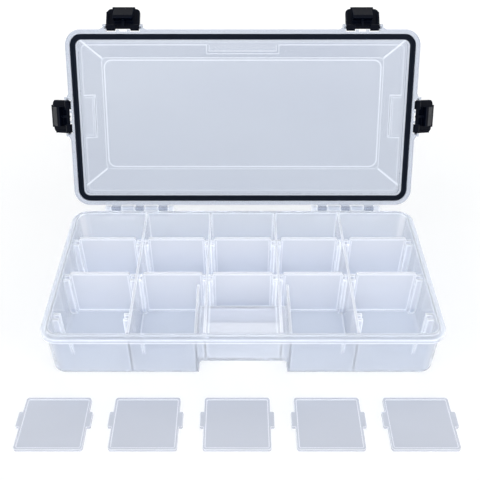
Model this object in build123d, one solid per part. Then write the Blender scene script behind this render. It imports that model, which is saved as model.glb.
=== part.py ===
from build123d import *
import math
import os

os.makedirs("parts", exist_ok=True)

# Clear compartment box with a gasketed lid, four latches and lift-out dividers.
# Origin: centre of the tray's footprint, on the table. Front is -Y, up is +Z.
# The lid and its pieces are drawn closed, then turned open about the hinge.

# ---- tray -----------------------------------------------------------------
rim_w = 232.0  # outline of the flange and of the lid
rim_d = 116.4
rim_r = 10.5
tray_h = 34.6  # table to the flat top of the flange
flange_out = 2.4  # from the tub's outer face to the edge of the flange
flange_t = 1.6
skirt_t = 1.2
skirt_drop = 3.0  # flange top down to the skirt's lower edge
wall_t = 1.8
floor_t = 1.8
lip_h = 1.4  # sealing lip above the flange
lip_out = 3.0  # its outer face, in from the edge of the flange
tub_edge_r = 5.0  # outer radius round the tub's bottom

# ---- compartments ---------------------------------------------------------
column_count = 5
column_share = 0.1954  # pitch of the columns as a share of the tub's inner width
partition_t = 1.6
rear_depth = 25.4  # rear wall to the first row of dividers
row_pitch = 33.0  # the third row has slots in the outer columns only
row_count = 2  # rows of fitted dividers
slot_rib_t = 1.6
slot_rib_drop = 3.1  # tops of the ribs below the flange
plate_t = 2.0
tab_play = 0.2  # tab to partition
tab_reach = 2.15  # tabs beyond the plate's sides
plate_web_t = 1.2
plate_border = 1.3
plate_r = 1.6
tab_top_drop = 9.6  # plate's top edge down to the tab
tab_h = 9.8
plate_below_lip = 0.6
plate_lift = 0.05  # under the plate's lower edge
slot_play = 0.3  # each side of a plate in its slot
edge_play = 0.15  # each side of a plate between the slot ribs

# ---- finger recess under the front edge -----------------------------------
recess_foot_half = 28.6  # where its sides meet the table
recess_mid_half = 26.2
recess_top_half = 25.2
recess_h = 13.5
recess_clear = 10.3  # its back, short of the front row of dividers
recess_skin_t = 1.5
recess_wing_half = 26.5  # inner face of the walls that rise beside the recess
recess_wing_drop = 0.6  # their tops below the flange

# ---- gussets under the flange ---------------------------------------------
gusset_t = 1.2
front_gussets = (-20.7, 20.1)  # from the middle of each front latch
front_gusset_foot = 19.0
hinge_gussets = (-20.3, -12.1, -5.1, 5.1, 12.1, 20.3)  # from the hinge's middle
hinge_gusset_foot = 28.4

# ---- hinges ---------------------------------------------------------------
hinge_in = 44.7  # middle of a hinge, in from the end of the rim
hinge_out = 2.6  # hinge line behind the rim's rear edge
knuckle_r = 2.2
hinge_pin_r = 1.0
hinge_play = 0.05
tray_knuckles = ((-23.6, -19.8), (-12.5, -3.6), (3.6, 12.5), (19.8, 23.6))
lid_knuckles = ((-19.2, -13.0), (-2.9, 2.9), (13.0, 19.2))
pin_half = 21.4
knuckle_web_gap = 0.4  # webs stop short of the closing plane
lid_open = 115.8  # degrees from closed to the stop

# ---- lid ------------------------------------------------------------------
seal_gap = 0.1  # flange to lid rim when closed
lid_rim_h = 4.6
lid_skin_t = 1.6
groove_out = 2.7  # gasket groove, measured in from the rim's edge
groove_in = 6.5
groove_rib_in = 7.8
groove_rib_lift = 1.6  # inner rib stops above the tops of the partitions
dome_foot_in = 9.6
dome_rise = 5.6
panel_in_side = 21.6  # rim's edge to the flat panel
panel_in_front = 17.8
panel_in_rear = 23.8
dome_r = 3.0
front_pocket_half = 22.2
front_pocket_in = 13.7
side_pocket_half = 12.5
side_pocket_in = 15.2

# ---- gasket ---------------------------------------------------------------
gasket_play = 0.1  # each side in the groove
gasket_face = 1.45  # lower face above the rim's underside
gasket_top = 2.95
gasket_channel_t = 0.9
gasket_channel_h = 0.45

# ---- latches --------------------------------------------------------------
front_latch_in = 38.0  # middle of a front latch, in from the end of the rim
side_latch_fore = 2.0  # middle of a side latch, in front of the rim's middle
latch_out = 1.2  # pivot outside the rim's edge
latch_up = 1.8  # pivot above the rim's underside
latch_half = 10.9
latch_t = 1.2
latch_r = 3.0
latch_knuckle_r = 2.1
latch_len = 13.6
latch_tip = 1.3
latch_tip_half = 7.4
foot_in = 5.0
foot_end = 10.4
bar_r = 1.0
stub_r = 0.85
stub_end = 12.1
stub_play = 0.07
cheek_t = 1.2
cheek_reach = 0.9  # pivot line in towards the rim
hook_half = 6.3
hook_reach = 3.2
hook_lip_h = 2.0
hook_gap = 0.15
latch_web_t = 1.2
latch_slot_h = 1.2  # panel stops this far below the pivot between the feet
lug_in = 11.1
lug_out = 13.0
lug_foot = 15.2
latch_notch = 1.4
prong_in = 2.6
prong_out = 4.2
latch_open = 116.0  # degrees from hooked to thrown back

# ---- loose dividers -------------------------------------------------------
spare_count = 5
spare_pitch = 51.2
spare_left = 3.4  # middle spare, left of the tray's middle
spare_fore = 90.0  # row of spares, in front of the tray's middle

# ---- derived --------------------------------------------------------------
cut = 1.0  # overshoot of a cutting body
inner_w = rim_w - 2 * (flange_out + wall_t)
inner_d = rim_d - 2 * (flange_out + wall_t)
lip_z = tray_h + lip_h
hinge_x = rim_w / 2 - hinge_in
front_latch_x = rim_w / 2 - front_latch_in
column_pitch = inner_w * column_share
wall_x = [(i - column_count / 2) * column_pitch for i in range(1, column_count)]
rows = [inner_d / 2 - rear_depth - i * row_pitch for i in range(row_count + 1)]
plate_span = column_pitch - partition_t - 2 * tab_play
plate_w = plate_span - 2 * tab_reach
face_x = [-inner_w / 2] + wall_x + [inner_w / 2]
plate_h = lip_z - plate_below_lip - floor_t - plate_lift
lid_z = tray_h + seal_gap
hinge_y = rim_d / 2 + hinge_out
hinge_line = Axis((0, hinge_y, tray_h), (1, 0, 0))
raised_floor = recess_h + floor_t


def prism(inset, z0, z1):
    """Rounded plan of the rim, drawn in by inset, from z0 up to z1."""
    plan = RectangleRounded(rim_w - 2 * inset, rim_d - 2 * inset, max(rim_r - inset, dome_r))
    return Pos(0, 0, z0) * extrude(plan, z1 - z0)


def block(x0, x1, y0, y1, z0, z1):
    return Pos((x0 + x1) / 2, (y0 + y1) / 2, (z0 + z1) / 2) * Box(x1 - x0, y1 - y0, z1 - z0)


def bar(radius, x0, x1, y=0.0, z=0.0):
    """Round bar along X."""
    return Pos((x0 + x1) / 2, y, z) * Rot(0, 90, 0) * Cylinder(radius, x1 - x0)


def side_profile(points, x0, x1):
    """Profile given as (y, z) points, swept along X."""
    face = Plane.YZ * make_face(Polyline(*points, close=True))
    return Pos(x0, 0, 0) * extrude(face, x1 - x0)


def column(index):
    """Left face, right face and slot centre of a column of compartments."""
    left = face_x[index] + (partition_t / 2 if index > 0 else 0)
    right = face_x[index + 1] - (partition_t / 2 if index < column_count - 1 else 0)
    return left, right, (left + right) / 2


def slot_ribs(index, row_y):
    """Two pairs of upright ribs that take a divider's tabs."""
    left, right, middle = column(index)
    reach = plate_w / 2 + edge_play
    near = plate_t / 2 + slot_play
    ribs = []
    for y0, y1 in ((near, near + slot_rib_t), (-near - slot_rib_t, -near)):
        for x0, x1 in ((left - partition_t / 2, middle - reach),
                       (middle + reach, right + partition_t / 2)):
            ribs.append(block(x0, x1, row_y + y0, row_y + y1, floor_t / 2,
                              tray_h - slot_rib_drop))
    return ribs


def gusset(x, side, foot):
    """Triangular rib between the tub's wall and the skirt; side is -1 front, 1 rear."""
    wall = side * (rim_d / 2 - flange_out - wall_t / 2)
    skin = side * (rim_d / 2 - flange_out)
    edge = side * (rim_d / 2 - skirt_t / 2)
    top = tray_h - flange_t / 2
    points = ((wall, top), (edge, top), (edge, tray_h - skirt_drop), (skin, foot), (wall, foot))
    return side_profile(points, x - gusset_t / 2, x + gusset_t / 2)


# ---- tray -----------------------------------------------------------------
tub = prism(flange_out, 0, tray_h)
tub = fillet(tub.edges().group_by(Axis.Z)[0], tub_edge_r)
tub = tub + prism(lip_out, tray_h - flange_t, lip_z)
cavity = prism(flange_out + wall_t, floor_t, lip_z + cut)
cavity = fillet(cavity.edges().group_by(Axis.Z)[0], tub_edge_r - wall_t)
flange = prism(0, tray_h - skirt_drop, tray_h) - prism(
    skirt_t, tray_h - skirt_drop - cut, tray_h - flange_t
)
wall_in = (wall_t + flange_out - lip_out) / 2  # fittings run this far into the tub's wall
fittings = [block(x - partition_t / 2, x + partition_t / 2, -inner_d / 2 - wall_in,
                  inner_d / 2 + wall_in, floor_t / 2, lip_z) for x in wall_x]
for c in range(column_count):
    for row in rows[:row_count] if 0 < c < column_count - 1 else rows:
        fittings += slot_ribs(c, row)
recess_front = -inner_d / 2 - wall_in
recess_back = rows[row_count - 1] - recess_clear
recess_outer = recess_wing_half + recess_skin_t
fittings.append(block(-recess_outer, recess_outer, recess_front, recess_back + recess_skin_t,
                      floor_t / 2, raised_floor))
for side in (-1, 1):
    x0, x1 = sorted((side * recess_wing_half, side * (recess_wing_half + recess_skin_t)))
    fittings.append(block(x0, x1, recess_front, recess_back + recess_skin_t,
                          recess_h, tray_h - recess_wing_drop))
outworks = []
for side in (-1, 1):
    outworks += [gusset(side * (front_latch_x + dx), -1, front_gusset_foot)
                 for dx in front_gussets]
    outworks += [gusset(side * hinge_x + dx, 1, hinge_gusset_foot) for dx in hinge_gussets]
    for x0, x1 in tray_knuckles:
        x0, x1 = side * hinge_x + x0, side * hinge_x + x1
        outworks.append(bar(knuckle_r, x0, x1, hinge_y, tray_h))
        outworks.append(block(x0, x1, rim_d / 2 - skirt_t, hinge_y,
                              tray_h - skirt_drop, tray_h - knuckle_web_gap))
fittings = (fittings[0] + fittings[1:]) & tub
tray = (tub + flange) - cavity
tray = tray + fittings + outworks
recess_plan = (
    (-recess_foot_half, -cut), (-recess_foot_half, 0), (-recess_mid_half, tub_edge_r / 2),
    (-recess_top_half, recess_h - cut), (-recess_top_half + cut, recess_h),
    (recess_top_half - cut, recess_h), (recess_top_half, recess_h - cut),
    (recess_mid_half, tub_edge_r / 2), (recess_foot_half, 0), (recess_foot_half, -cut),
)
recess_face = Plane.XZ * make_face(Polyline(*recess_plan, close=True))
recess = Pos(0, recess_back, 0) * extrude(recess_face, rim_d)
tray = tray - recess
for side in (-1, 1):
    tray = tray - bar(hinge_pin_r + hinge_play, side * hinge_x - pin_half - hinge_play,
                      side * hinge_x + pin_half + hinge_play, hinge_y, tray_h)

hinge_pins = {}
for name, side in (("hinge_pin_left", -1), ("hinge_pin_right", 1)):
    pin = bar(hinge_pin_r, side * hinge_x - pin_half, side * hinge_x + pin_half, hinge_y, tray_h)
    hinge_pins[name] = pin

# ---- lid ------------------------------------------------------------------
dome_w = rim_w - 2 * dome_foot_in
dome_d = rim_d - 2 * dome_foot_in
panel_w = rim_w - 2 * panel_in_side
panel_d = rim_d - panel_in_front - panel_in_rear
panel_y = (panel_in_front - panel_in_rear) / 2


def dome(z0):
    """Solid with four sloped sides between the dome's foot and the flat panel."""
    foot = Pos(0, 0, z0) * RectangleRounded(dome_w, dome_d, dome_r)
    panel = Pos(0, panel_y, z0 + dome_rise) * RectangleRounded(panel_w, panel_d, dome_r)
    return loft([foot, panel], ruled=True)


# Where each latch pivots on the closed lid, seen with its outward side along -Y.
pivot_z = lid_z + latch_up
latch_places = {
    "latch_front_left": Pos(-front_latch_x, -rim_d / 2 - latch_out, pivot_z),
    "latch_front_right": Pos(front_latch_x, -rim_d / 2 - latch_out, pivot_z),
    "latch_left": Pos(-rim_w / 2 - latch_out, -side_latch_fore, pivot_z) * Rot(0, 0, -90),
    "latch_right": Pos(rim_w / 2 + latch_out, -side_latch_fore, pivot_z) * Rot(0, 0, 90),
}


def latch_lugs():
    """Two lugs with blind sockets and two prongs, in the latch's own frame."""
    shapes = []
    low, high = -latch_up, lid_rim_h - latch_up
    root = latch_out + latch_notch
    for side in (-1, 1):
        points = ((side * lug_in, root), (side * lug_in, 0), (side * lug_out, 0),
                  (side * lug_foot, latch_out), (side * lug_foot, root))
        plan = make_face(Polyline(*points, close=True))
        lug = Pos(0, 0, low) * extrude(plan, latch_knuckle_r - low)
        x0, x1 = sorted((side * lug_in, side * lug_out))
        lug = lug + bar(latch_knuckle_r, x0, x1) - block(
            x0, x1, -latch_knuckle_r, root, low - latch_knuckle_r, low)
        s0, s1 = sorted((side * lug_in, side * (stub_end + stub_play)))
        shapes.append(lug - bar(stub_r + stub_play, s0, s1))
        p0, p1 = sorted((side * prong_in, side * prong_out))
        shapes.append(block(p0, p1, bar_r + slot_play, root + cut / 2, -bar_r, high - cut))
    return shapes


lid = prism(0, lid_z, lid_z + lid_rim_h) + dome(lid_z + lid_rim_h)
lid = lid - prism(groove_rib_in, lid_z - cut, lid_z + lid_rim_h - lid_skin_t)
lid = lid - dome(lid_z + lid_rim_h - lid_skin_t)
lid = lid - (
    prism(groove_out, lid_z - cut, lid_z + lid_rim_h - lid_skin_t)
    - prism(groove_in, lid_z - 2 * cut, lid_z + lid_rim_h)
)
lid = lid - prism(groove_in, lid_z - cut, lid_z + groove_rib_lift)

pocket_top = lid_z + lid_rim_h + dome_rise + cut
ledge = lid_z + lid_rim_h - lid_skin_t
front_face, side_face = -rim_d / 2, rim_w / 2
pockets = [
    (-front_pocket_half, front_pocket_half, front_face + groove_rib_in,
     front_face + front_pocket_in, 0, 1),
    (-side_face + groove_rib_in, -side_face + side_pocket_in,
     -side_latch_fore - side_pocket_half, -side_latch_fore + side_pocket_half, 1, 0),
    (side_face - side_pocket_in, side_face - groove_rib_in,
     -side_latch_fore - side_pocket_half, -side_latch_fore + side_pocket_half, -1, 0),
]
skin_of_dome = prism(0, lid_z + groove_rib_lift, lid_z + lid_rim_h) + dome(lid_z + lid_rim_h)
for x0, x1, y0, y1, grow_x, grow_y in pockets:
    t = lid_skin_t
    inner = block(x0 - t * (grow_x != 1), x1 + t * (grow_x != -1), y0 - t * (grow_y != 1),
                  y1 + t, ledge, pocket_top)
    lid = lid + (inner & skin_of_dome)
for x0, x1, y0, y1, grow_x, grow_y in pockets:
    lid = lid - block(x0, x1, y0, y1, lid_z + lid_rim_h, pocket_top)

for place in latch_places.values():
    lid = lid - place * block(-lug_in, lug_in, -cut, latch_out + latch_notch,
                              -latch_up - cut, lid_rim_h)
    lid = lid + [place * lug for lug in latch_lugs()]

lid_adds = []
for side in (-1, 1):
    for x0, x1 in lid_knuckles:
        x0, x1 = side * hinge_x + x0, side * hinge_x + x1
        lid_adds.append(bar(knuckle_r, x0, x1, hinge_y, tray_h))
        lid_adds.append(block(x0, x1, rim_d / 2 - cut, hinge_y,
                              tray_h + knuckle_web_gap, tray_h + knuckle_r))
lid = lid + lid_adds
for side in (-1, 1):
    lid = lid - bar(hinge_pin_r + hinge_play, side * hinge_x - pin_half,
                    side * hinge_x + pin_half, hinge_y, tray_h)

# ---- gasket ---------------------------------------------------------------
ring_out, ring_in = groove_out + gasket_play, groove_in - gasket_play
ring_mid = (ring_out + ring_in) / 2
gasket = prism(ring_out, lid_z + gasket_face, lid_z + gasket_top)
gasket = gasket - prism(ring_in, lid_z, lid_z + lid_rim_h)
channel = prism(ring_mid - gasket_channel_t / 2, lid_z, lid_z + gasket_face + gasket_channel_h)
channel = channel - prism(ring_mid + gasket_channel_t / 2, lid_z - cut, lid_z + lid_rim_h)
gasket = gasket - channel


# ---- latch ----------------------------------------------------------------
def latch():
    """Hollow latch hanging hooked: pivot along X at the origin, outward is -Y."""
    outer, inner = -latch_knuckle_r, -latch_knuckle_r + latch_t
    hook_z = -(latch_up + seal_gap + skirt_drop + hook_gap)
    face = Plane.XZ * Pos(0, -latch_len / 2) * RectangleRounded(
        2 * latch_half, latch_len, latch_r)
    shape = Pos(0, inner, 0) * extrude(face, latch_t)
    shape = shape + block(-latch_half, latch_half, outer, inner, -latch_len / 2, 0)
    shape = shape - block(-foot_in, foot_in, outer - cut, inner + cut, -latch_slot_h, cut)
    adds = [block(-latch_tip_half, latch_tip_half, outer, inner,
                  -latch_len - latch_tip, -latch_len + latch_t)]
    for side in (-1, 1):
        x0, x1 = sorted((side * foot_in, side * foot_end))
        adds.append(bar(latch_knuckle_r, x0, x1))
        x0, x1 = sorted((side * (latch_half - cheek_t), side * latch_half))
        adds.append(block(x0, x1, outer, cheek_reach, latch_r - latch_len, -latch_t))
    adds.append(bar(bar_r, -foot_end, foot_end))
    adds.append(bar(stub_r, -stub_end, stub_end))
    adds.append(block(-latch_web_t / 2, latch_web_t / 2, outer, cheek_reach, hook_z, 0))
    skin = outer + latch_t / 2
    hook = ((skin, hook_z), (hook_reach, hook_z), (hook_reach, hook_z - hook_lip_h),
            (inner, -latch_len - latch_tip / 2), (skin, -latch_len))
    adds.append(side_profile(hook, -hook_half, hook_half))
    return shape + adds


# ---- divider --------------------------------------------------------------
def divider():
    """Plate upright in XZ with its lower edge at Z = 0; border raised on both faces."""
    body = Plane.XZ * Pos(0, plate_h / 2) * RectangleRounded(plate_w, plate_h, plate_r)
    tabs = Plane.XZ * Pos(0, plate_h - tab_top_drop - tab_h / 2) * RectangleRounded(
        plate_span, tab_h, plate_r / 2)
    plate = Pos(0, plate_t / 2, 0) * extrude(body + tabs, plate_t)
    field = Plane.XZ * Pos(0, plate_h / 2) * RectangleRounded(
        plate_w - 2 * plate_border, plate_h - 2 * plate_border, plate_r / 2)
    depth = (plate_t - plate_web_t) / 2
    for y0 in (plate_t / 2 + cut, -plate_t / 2 + depth):
        plate = plate - Pos(0, y0, 0) * extrude(field, depth if y0 < 0 else depth + cut)
    return plate


# ---- export ---------------------------------------------------------------
def opened(shape):
    return shape.rotate(hinge_line, -lid_open)


nodes = {"base_tray": tray, "lid": opened(lid), "lid_gasket": opened(gasket)}
nodes.update(hinge_pins)
latch_shape = latch()
for name, place in latch_places.items():
    nodes[name] = opened(place * Rot(-latch_open, 0, 0) * latch_shape)
plate = divider()
for r in range(row_count):
    for c in range(column_count):
        seat = Pos(column(c)[2], rows[r], floor_t + plate_lift)
        nodes[f"divider_row{r + 1}_column{c + 1}"] = seat * plate
for i in range(spare_count):
    x = (i - (spare_count - 1) / 2) * spare_pitch - spare_left
    flat = Pos(x, -spare_fore - plate_h / 2, plate_t / 2) * Rot(-90, 0, 0)
    nodes[f"spare_divider_{i + 1}"] = flat * plate

for name, shape in nodes.items():
    shape = shape.clean()
    shape.label = name
    export_step(shape, f"parts/{name}.step")
    box = shape.bounding_box()
    print(name, len(shape.solids()), round(shape.volume, 1), box.min, box.max)
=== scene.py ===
import math

import bmesh
import bpy
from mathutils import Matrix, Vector

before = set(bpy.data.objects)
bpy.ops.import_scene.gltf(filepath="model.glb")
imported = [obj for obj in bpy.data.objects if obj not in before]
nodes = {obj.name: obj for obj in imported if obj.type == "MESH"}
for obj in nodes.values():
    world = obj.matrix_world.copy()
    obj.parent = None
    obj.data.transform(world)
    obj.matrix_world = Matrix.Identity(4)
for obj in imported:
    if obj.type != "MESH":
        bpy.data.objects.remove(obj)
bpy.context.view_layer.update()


# --- Tray ---------------------------------------------------------------------
# One injection moulding in clear plastic: tub, flange and skirt, partitions,
# slot ribs and hinge knuckles. It is hazy in patches. Its edges carry a painted
# highlight: paler colour and a faint painted glow. Inside the tub the thin webs,
# the floor and the inner wall faces are painted paler, with stronger painted edge
# highlights.
def add(tree, kind, inputs=None, **settings):
    node = tree.nodes.new(kind)
    for name, value in settings.items():
        setattr(node, name, value)
    for name, value in (inputs or {}).items():
        if isinstance(value, bpy.types.NodeSocket):
            tree.links.new(value, node.inputs[name])
        else:
            node.inputs[name].default_value = value
    return node


def new_group(name, inputs, outputs):
    tree = bpy.data.node_groups.new(name, "ShaderNodeTree")
    for label, kind in inputs:
        tree.interface.new_socket(label, in_out="INPUT", socket_type=kind)
    for label, kind in outputs:
        tree.interface.new_socket(label, in_out="OUTPUT", socket_type=kind)
    return tree, tree.nodes.new("NodeGroupInput"), tree.nodes.new("NodeGroupOutput")


def new_material(name):
    material = bpy.data.materials.new(name)
    material.use_nodes = True
    material.node_tree.nodes.clear()
    return material, material.node_tree


def dress(names, material):
    for name in names:
        mesh = nodes[name].data
        mesh.materials.clear()
        mesh.materials.append(material)


def mix(tree, factor, low, high):
    return add(tree, "ShaderNodeMix", {"Factor": factor, "A": low, "B": high}, data_type="RGBA")


def grey(level):
    return (level, level, level, 1)


moulded, ins, outs = new_group(
    "moulded clear plastic",
    [("Body", "NodeSocketColor"), ("Haze", "NodeSocketColor"), ("Edge", "NodeSocketColor"),
     ("Glow", "NodeSocketColor"), ("Edge width", "NodeSocketFloat"),
     ("Crease", "NodeSocketFloat"), ("Edge share", "NodeSocketFloat"),
     ("Painted lines", "NodeSocketFloat"), ("Flow scale", "NodeSocketFloat"),
     ("Smooth", "NodeSocketFloat"), ("Rubbed", "NodeSocketFloat"),
     ("Ripple", "NodeSocketFloat")],
    [("Color", "NodeSocketColor"), ("Roughness", "NodeSocketFloat"),
     ("Glow", "NodeSocketColor"), ("Normal", "NodeSocketVector")])
place = add(moulded, "ShaderNodeTexCoord").outputs["Object"]
stretch = add(moulded, "ShaderNodeMapping", {"Vector": place, "Scale": (0.35, 1.0, 0.6)})
flow = add(moulded, "ShaderNodeTexNoise",
           {"Vector": stretch.outputs["Vector"], "Scale": ins.outputs["Flow scale"],
            "Detail": 1.0, "Roughness": 0.4})
smudge = add(moulded, "ShaderNodeTexNoise",
             {"Vector": place, "Scale": 24.0, "Detail": 1.0, "Roughness": 0.4})
rounded = add(moulded, "ShaderNodeBevel", {"Radius": ins.outputs["Edge width"]}, samples=8)
face = add(moulded, "ShaderNodeNewGeometry").outputs["Normal"]
turn = add(moulded, "ShaderNodeVectorMath",
           {0: rounded.outputs["Normal"], 1: face}, operation="DOT_PRODUCT")
edge = add(moulded, "ShaderNodeMapRange",
           {"Value": turn.outputs["Value"], "From Min": 0.999,
            "From Max": ins.outputs["Crease"], "To Min": 0.0, "To Max": 1.0})
edge = add(moulded, "ShaderNodeMath",
           {0: edge.outputs["Result"], 1: ins.outputs["Edge share"]}, operation="MULTIPLY")
edge = add(moulded, "ShaderNodeMath",
           {0: edge.outputs["Value"], 1: ins.outputs["Painted lines"]}, operation="MAXIMUM")
patch = add(moulded, "ShaderNodeMapRange",
            {"Value": flow.outputs["Fac"], "From Min": 0.30, "From Max": 0.72},
            interpolation_type="SMOOTHSTEP")
hazy = mix(moulded, patch.outputs["Result"], ins.outputs["Body"], ins.outputs["Haze"])
# Edges found by the bevel, and any lines fed in, get a paler colour and an emitted glow:
# painted highlights.
colour_with_painted_edges = mix(moulded, edge.outputs["Value"], hazy.outputs["Result"], ins.outputs["Edge"])
painted_edge_glow = mix(moulded, edge.outputs["Value"], grey(0), ins.outputs["Glow"])
gloss = add(moulded, "ShaderNodeMapRange",
            {"Value": smudge.outputs["Fac"], "From Min": 0.3, "From Max": 0.75,
             "To Min": ins.outputs["Smooth"], "To Max": ins.outputs["Rubbed"]})
ripple = add(moulded, "ShaderNodeBump",
             {"Height": flow.outputs["Fac"], "Distance": ins.outputs["Ripple"],
              "Strength": 1.0})
moulded.links.new(colour_with_painted_edges.outputs["Result"], outs.inputs["Color"])
moulded.links.new(gloss.outputs["Result"], outs.inputs["Roughness"])
moulded.links.new(painted_edge_glow.outputs["Result"], outs.inputs["Glow"])
moulded.links.new(ripple.outputs["Normal"], outs.inputs["Normal"])


def clear_plastic(name, transmission, bending, shade, **looks):
    material, tree = new_material(name)
    look = add(tree, "ShaderNodeGroup", node_tree=moulded)
    look.inputs["Edge share"].default_value = 1.0
    for label, value in looks.items():
        look.inputs[label.replace("_", " ").capitalize()].default_value = value
    plastic = add(tree, "ShaderNodeBsdfPrincipled",
                  {"Base Color": look.outputs["Color"], "Roughness": look.outputs["Roughness"],
                   "Normal": look.outputs["Normal"], "Emission Color": look.outputs["Glow"],
                   "Emission Strength": 1.0, "IOR": bending,
                   "Transmission Weight": transmission})
    through = add(tree, "ShaderNodeBsdfTransparent", {"Color": shade})
    path = add(tree, "ShaderNodeLightPath")
    both = add(tree, "ShaderNodeMixShader",
               {0: path.outputs["Is Shadow Ray"], 1: plastic.outputs["BSDF"],
                2: through.outputs["BSDF"]})
    add(tree, "ShaderNodeOutputMaterial", {"Surface": both.outputs["Shader"]})
    return material, tree, look


def inside_box(tree, place, middle, half):
    gap = add(tree, "ShaderNodeVectorMath", {0: place, 1: middle}, operation="SUBTRACT")
    gap = add(tree, "ShaderNodeVectorMath", {0: gap.outputs["Vector"]}, operation="ABSOLUTE")
    gap = add(tree, "ShaderNodeVectorMath", {0: gap.outputs["Vector"], 1: half},
              operation="SUBTRACT")
    gap = add(tree, "ShaderNodeSeparateXYZ", {0: gap.outputs["Vector"]})
    flat_gap = add(tree, "ShaderNodeMath", {0: gap.outputs["X"], 1: gap.outputs["Y"]},
                   operation="MAXIMUM")
    gap = add(tree, "ShaderNodeMath", {0: flat_gap.outputs["Value"], 1: gap.outputs["Z"]},
              operation="MAXIMUM")
    blur = 0.0004
    return add(tree, "ShaderNodeMapRange",
               {"Value": gap.outputs["Value"], "From Min": blur, "From Max": -blur})


# Inside the tub box the body and haze are painted paler and the edges get a stronger painted
# highlight: painted lightening.
wall_body, wall_haze = (0.765, 0.80, 0.865, 1), (0.79, 0.825, 0.885, 1)
inner_body, inner_haze = (0.92, 0.935, 0.97, 1), (0.94, 0.95, 0.98, 1)
inner_middle, inner_half = (0.0, 0.0, 0.024), (0.1112, 0.0534, 0.0180)
wall_edge, inner_edge = 0.50, 0.82
tray_plastic, tree, look = clear_plastic(
    "tray clear plastic", transmission=0.69, bending=1.36, shade=(0.86, 0.88, 0.92, 1),
    body=wall_body, haze=wall_haze, edge=(0.91, 0.93, 0.97, 1), glow=(0.24, 0.245, 0.25, 1),
    edge_width=0.0019, crease=0.92, flow_scale=26.0, smooth=0.07, rubbed=0.12,
    ripple=0.000004)
# Mask of the tub's inside, where the colour is painted paler and the edge highlights stronger.
place = add(tree, "ShaderNodeTexCoord").outputs["Object"]
within = inside_box(tree, place, inner_middle, inner_half)
share = add(tree, "ShaderNodeMapRange",
            {"Value": within.outputs["Result"], "To Min": wall_edge, "To Max": inner_edge})
painted_paler_inside = mix(tree, within.outputs["Result"], wall_body, inner_body)
painted_paler_inside_haze = mix(tree, within.outputs["Result"], wall_haze, inner_haze)
tree.links.new(share.outputs["Result"], look.inputs["Edge share"])
tree.links.new(painted_paler_inside.outputs["Result"], look.inputs["Body"])
tree.links.new(painted_paler_inside_haze.outputs["Result"], look.inputs["Haze"])
dress(["base_tray"], tray_plastic)

# --- Dividers -----------------------------------------------------------------
# Thin lift-out plates, moulded with a raised border and two tabs that drop into
# the slot ribs. Their faces have a light frost from the tool.
frost = {"crease": 0.94, "flow_scale": 30.0, "smooth": 0.18, "rubbed": 0.24, "ripple": 0.0}
divider_plastic = clear_plastic(
    "divider frosted plastic", transmission=0.36, bending=1.40, shade=(0.94, 0.96, 0.99, 1),
    body=(0.83, 0.85, 0.90, 1), haze=(0.845, 0.865, 0.915, 1), edge=(0.96, 0.97, 1.0, 1),
    glow=(0.11, 0.115, 0.12, 1), edge_width=0.0009, **frost)[0]
dress([name for name in nodes if name.startswith("divider_")], divider_plastic)

# --- Spare dividers -----------------------------------------------------------
# Five more of the same frosted plates, moulded with the others. Nothing holds
# them: they lie loose on the table in front of the tray.
# The body is painted darker than the fitted dividers' though the plastic is the same: painted
# shade.
spare_plastic_painted_darker = clear_plastic(
    "spare divider plastic painted darker", transmission=0.36, bending=1.40, shade=(0.88, 0.90, 0.94, 1),
    body=(0.64, 0.665, 0.725, 1), haze=(0.66, 0.685, 0.745, 1), edge=(0.94, 0.95, 0.98, 1),
    glow=(0.08, 0.08, 0.09, 1), edge_width=0.0006, **frost)[0]
dress([name for name in nodes if name.startswith("spare_divider_")], spare_plastic_painted_darker)

# --- Hinge pins ---------------------------------------------------------------
# Two clear plastic rods, cut to length and pushed into the knuckles of tray and
# lid from their open ends.
pin_plastic = clear_plastic(
    "hinge pin plastic", transmission=0.8, bending=1.49, shade=(0.94, 0.96, 0.99, 1),
    body=(0.84, 0.88, 0.94, 1), haze=(0.88, 0.91, 0.96, 1), edge=(1.0, 1.0, 1.0, 1),
    glow=(0.05, 0.05, 0.06, 1), edge_width=0.0002, crease=0.94, flow_scale=40.0, smooth=0.08,
    rubbed=0.14, ripple=0.0)[0]
dress(["hinge_pin_left", "hinge_pin_right"], pin_plastic)

# --- Lid ----------------------------------------------------------------------
# A shallow clear moulding: rim with a gasket groove, four sloped sides and a
# flat panel, three finger pockets, and lugs that carry the latches. The hips and
# the line round the panel catch the light, so the material draws them paler.
lid_plastic, tree, look = clear_plastic(
    "lid clear plastic", transmission=0.80, bending=1.45, shade=(0.80, 0.83, 0.88, 1),
    body=(0.59, 0.63, 0.72, 1), haze=(0.63, 0.67, 0.75, 1), edge=(0.84, 0.87, 0.94, 1),
    glow=(0.10, 0.105, 0.11, 1), edge_width=0.0008, crease=0.984, flow_scale=18.0,
    smooth=0.06, rubbed=0.10, ripple=0.000003)
hinge_line = (0.0, 0.0608, 0.0346)
open_turn = math.radians(115.8)
panel_middle, panel_half, panel_corner = (0.0, -0.0638, 0.0), (0.0878, 0.0308, 9.0), 0.0050
dome_middle, dome_half = (0.0, -0.0608, 0.0), (0.1065, 0.0487, 1.0)
hip_half, hip_core, hip_start = 0.0013, 0.0003, 0.0004
bead_half, bead_core = 0.0006, 0.0001
line_strength = 0.65
rim_edge, dome_edge = 0.25, 1.0
flat = add(tree, "ShaderNodeVectorMath",
           {0: add(tree, "ShaderNodeTexCoord").outputs["Object"], 1: hinge_line},
           operation="SUBTRACT")
flat = add(tree, "ShaderNodeVectorRotate",
           {"Vector": flat.outputs["Vector"], "Angle": open_turn}, rotation_type="X_AXIS")
axes = add(tree, "ShaderNodeSeparateXYZ", {0: flat.outputs["Vector"]})
side = add(tree, "ShaderNodeMath", {0: axes.outputs["X"]}, operation="ABSOLUTE")
hips = []
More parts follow.
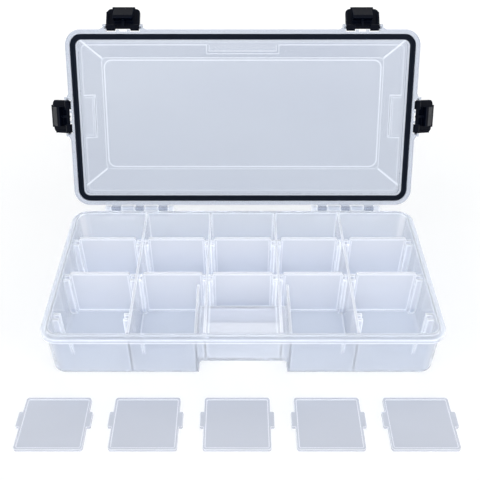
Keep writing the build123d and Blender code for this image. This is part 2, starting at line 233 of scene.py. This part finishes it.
for fore_aft, panel_x, panel_y, rim_x, run_y in ((-1, 0.0944, -0.1012, 0.1084, 0.0127),
                                                 (1, 0.0944, -0.0264, 0.1077, 0.0104)):
    along = add(tree, "ShaderNodeMapRange",
                {"Value": side.outputs["Value"], "From Min": panel_x, "From Max": rim_x,
                 "To Min": panel_y, "To Max": panel_y + fore_aft * run_y}, clamp=False)
    away = add(tree, "ShaderNodeMath", {0: axes.outputs["Y"], 1: along.outputs["Result"]},
               operation="SUBTRACT")
    away = add(tree, "ShaderNodeMath", {0: away.outputs["Value"]}, operation="ABSOLUTE")
    line = add(tree, "ShaderNodeMapRange",
               {"Value": away.outputs["Value"], "From Min": hip_half, "From Max": hip_core},
               interpolation_type="SMOOTHSTEP")
    start = add(tree, "ShaderNodeMath", {0: side.outputs["Value"], 1: panel_x - hip_start},
                operation="GREATER_THAN")
    stop = add(tree, "ShaderNodeMath", {0: side.outputs["Value"], 1: rim_x},
               operation="LESS_THAN")
    span = add(tree, "ShaderNodeMath", {0: start.outputs["Value"], 1: stop.outputs["Value"]},
               operation="MULTIPLY")
    hip = add(tree, "ShaderNodeMath", {0: line.outputs["Result"], 1: span.outputs["Value"]},
              operation="MULTIPLY")
    hips.append(hip.outputs["Value"])
painted_line_mask = add(tree, "ShaderNodeMath", {0: hips[0], 1: hips[1]}, operation="MAXIMUM")
bead = add(tree, "ShaderNodeVectorMath", {0: flat.outputs["Vector"], 1: panel_middle},
           operation="SUBTRACT")
bead = add(tree, "ShaderNodeVectorMath", {0: bead.outputs["Vector"]}, operation="ABSOLUTE")
bead = add(tree, "ShaderNodeVectorMath", {0: bead.outputs["Vector"], 1: panel_half},
           operation="SUBTRACT")
bead = add(tree, "ShaderNodeVectorMath", {0: bead.outputs["Vector"], 1: (0, 0, 0)},
           operation="MAXIMUM")
bead = add(tree, "ShaderNodeVectorMath", {0: bead.outputs["Vector"]}, operation="LENGTH")
bead = add(tree, "ShaderNodeMath", {0: bead.outputs["Value"], 1: panel_corner},
           operation="SUBTRACT")
bead = add(tree, "ShaderNodeMath", {0: bead.outputs["Value"]}, operation="ABSOLUTE")
bead = add(tree, "ShaderNodeMapRange",
           {"Value": bead.outputs["Value"], "From Min": bead_half, "From Max": bead_core},
           interpolation_type="SMOOTHSTEP")
painted_line_mask = add(tree, "ShaderNodeMath", {0: painted_line_mask.outputs["Value"], 1: bead.outputs["Result"]},
            operation="MAXIMUM")
soft = add(tree, "ShaderNodeMath", {0: painted_line_mask.outputs["Value"], 1: line_strength},
           operation="MULTIPLY")
tree.links.new(soft.outputs["Value"], look.inputs["Painted lines"])
# The painted edge highlight is a quarter as strong on the rim as on the dome.
dome = inside_box(tree, flat.outputs["Vector"], dome_middle, dome_half)
dome = add(tree, "ShaderNodeMapRange",
           {"Value": dome.outputs["Result"], "To Min": rim_edge, "To Max": dome_edge})
tree.links.new(dome.outputs["Result"], look.inputs["Edge share"])
dress(["lid"], lid_plastic)

# --- Gasket -------------------------------------------------------------------
# One black rubber ring, moulded with a channel in its face and pressed into the
# groove of the lid.
seal_rubber, tree = new_material("black seal rubber")
place = add(tree, "ShaderNodeTexCoord").outputs["Object"]
bloom = add(tree, "ShaderNodeTexNoise", {"Vector": place, "Scale": 90.0, "Detail": 5.0})
grain = add(tree, "ShaderNodeTexNoise", {"Vector": place, "Scale": 2600.0, "Detail": 3.0})
tone = mix(tree, bloom.outputs["Fac"], (0.003, 0.005, 0.011, 1), (0.008, 0.012, 0.022, 1))
matt = add(tree, "ShaderNodeMapRange",
           {"Value": bloom.outputs["Fac"], "To Min": 0.42, "To Max": 0.62})
skin = add(tree, "ShaderNodeBump",
           {"Height": grain.outputs["Fac"], "Distance": 0.00003, "Strength": 1.0})
rubber = add(tree, "ShaderNodeBsdfPrincipled",
             {"Base Color": tone.outputs["Result"], "Roughness": matt.outputs["Result"],
              "Normal": skin.outputs["Normal"], "Specular IOR Level": 0.08})
add(tree, "ShaderNodeOutputMaterial", {"Surface": rubber.outputs["BSDF"]})
dress(["lid_gasket"], seal_rubber)

# --- Latches ------------------------------------------------------------------
# Four black snap latches, moulded in a tough plastic with a fine spark-eroded
# texture. Each turns on two stubs in the lid's lugs and hooks under the skirt.
latch_plastic, tree = new_material("black latch plastic")
place = add(tree, "ShaderNodeTexCoord").outputs["Object"]
spark = add(tree, "ShaderNodeTexNoise", {"Vector": place, "Scale": 3200.0, "Detail": 3.0})
wear = add(tree, "ShaderNodeTexNoise", {"Vector": place, "Scale": 320.0, "Detail": 5.0})
rounded = add(tree, "ShaderNodeBevel", {"Radius": 0.0004}, samples=8)
face = add(tree, "ShaderNodeNewGeometry").outputs["Normal"]
turn = add(tree, "ShaderNodeVectorMath",
           {0: rounded.outputs["Normal"], 1: face}, operation="DOT_PRODUCT")
edge = add(tree, "ShaderNodeMapRange",
           {"Value": turn.outputs["Value"], "From Min": 0.995, "From Max": 0.85,
            "To Min": 0.0, "To Max": 1.0})
# Rounded edges are painted a lighter blue-black than the faces: painted highlight.
tone = mix(tree, edge.outputs["Result"], (0.001, 0.002, 0.006, 1), (0.009, 0.013, 0.026, 1))
sheen = add(tree, "ShaderNodeMapRange",
            {"Value": wear.outputs["Fac"], "From Min": 0.3, "From Max": 0.7,
             "To Min": 0.26, "To Max": 0.42})
skin = add(tree, "ShaderNodeBump",
           {"Height": spark.outputs["Fac"], "Distance": 0.00002, "Strength": 1.0,
            "Normal": rounded.outputs["Normal"]})
tough = add(tree, "ShaderNodeBsdfPrincipled",
            {"Base Color": tone.outputs["Result"], "Roughness": sheen.outputs["Result"],
             "Normal": skin.outputs["Normal"], "Specular IOR Level": 0.08})
add(tree, "ShaderNodeOutputMaterial", {"Surface": tough.outputs["BSDF"]})
dress([name for name in nodes if name.startswith("latch_")], latch_plastic)

# --- Table, lamps and camera --------------------------------------------------
# A white table that runs out past the view, four broad soft lamps and a long
# lens above the front edge.
def seen_ray(tree):
    path = add(tree, "ShaderNodeLightPath")
    seen = add(tree, "ShaderNodeMath",
               {0: path.outputs["Is Camera Ray"], 1: path.outputs["Is Glossy Ray"]},
               operation="MAXIMUM")
    return add(tree, "ShaderNodeMath",
               {0: seen.outputs["Value"], 1: path.outputs["Is Transmission Ray"]},
               operation="MAXIMUM")


table_z, table_half = -0.0003, 4.0
sweep_start, sweep_end = 0.2, 1.6
form = bmesh.new()
bmesh.ops.create_grid(form, x_segments=1, y_segments=1, size=table_half)
bmesh.ops.translate(form, vec=(0, 0, table_z), verts=form.verts)
mesh = bpy.data.meshes.new("table")
form.to_mesh(mesh)
form.free()
table = bpy.data.objects.new("table", mesh)
bpy.context.scene.collection.objects.link(table)
table_paint, tree = new_material("table white")
seen = seen_ray(tree)
spread = add(tree, "ShaderNodeVectorMath",
             {0: add(tree, "ShaderNodeTexCoord").outputs["Object"]}, operation="LENGTH")
sweep = add(tree, "ShaderNodeMapRange",
            {"Value": spread.outputs["Value"], "From Min": sweep_start, "From Max": sweep_end})
glow = mix(tree, sweep.outputs["Result"], grey(0.34), grey(0.96))
lift = mix(tree, seen.outputs["Value"], grey(0), glow.outputs["Result"])
cover = mix(tree, seen.outputs["Value"], grey(0.86), (0.69, 0.69, 0.68, 1))
paint = add(tree, "ShaderNodeBsdfPrincipled",
            {"Base Color": cover.outputs["Result"], "Roughness": 0.9,
             "Specular IOR Level": 0.1, "Emission Color": lift.outputs["Result"],
             "Emission Strength": 1.0})
add(tree, "ShaderNodeOutputMaterial", {"Surface": paint.outputs["BSDF"]})
mesh.materials.append(table_paint)

world = bpy.data.worlds.new("studio")
bpy.context.scene.world = world
world.use_nodes = True
tree = world.node_tree
tree.nodes.clear()
seen = seen_ray(tree)
sky = mix(tree, seen.outputs["Value"], (0.42, 0.43, 0.45, 1), grey(1))
back = add(tree, "ShaderNodeBackground", {"Color": sky.outputs["Result"], "Strength": 1.0})
add(tree, "ShaderNodeOutputWorld", {"Surface": back.outputs["Background"]})

aim = Vector((0, 0.02, 0.04))
lamp_width = 1.6
for name, spot, power in (("lamp front", (0.0, -2.8, 2.2), 42.0),
                          ("lamp back", (0.0, 2.3, 2.8), 26.0),
                          ("lamp left", (-2.7, -1.6, 1.3), 36.0),
                          ("lamp right", (2.7, -1.6, 1.3), 32.0)):
    lamp = bpy.data.lights.new(name, "AREA")
    lamp.shape = "SQUARE"
    lamp.size = lamp_width
    lamp.energy = power
    holder = bpy.data.objects.new(name, lamp)
    holder.location = spot
    holder.visible_glossy = False
    holder.visible_transmission = False
    holder.rotation_euler = (aim - Vector(spot)).to_track_quat("-Z", "Y").to_euler()
    bpy.context.scene.collection.objects.link(holder)

lens = bpy.data.cameras.new("camera")
lens.sensor_width = 36.0
lens.lens = 50.47
lens.clip_start = 0.01
camera = bpy.data.objects.new("camera", lens)
camera.location = (-0.0018, -0.30576, 0.32556)
look_down = math.radians(41.11)
camera.rotation_euler = (math.radians(90) - look_down, 0, 0)
bpy.context.scene.collection.objects.link(camera)
bpy.context.scene.camera = camera
bpy.context.scene.view_settings.view_transform = "Standard"
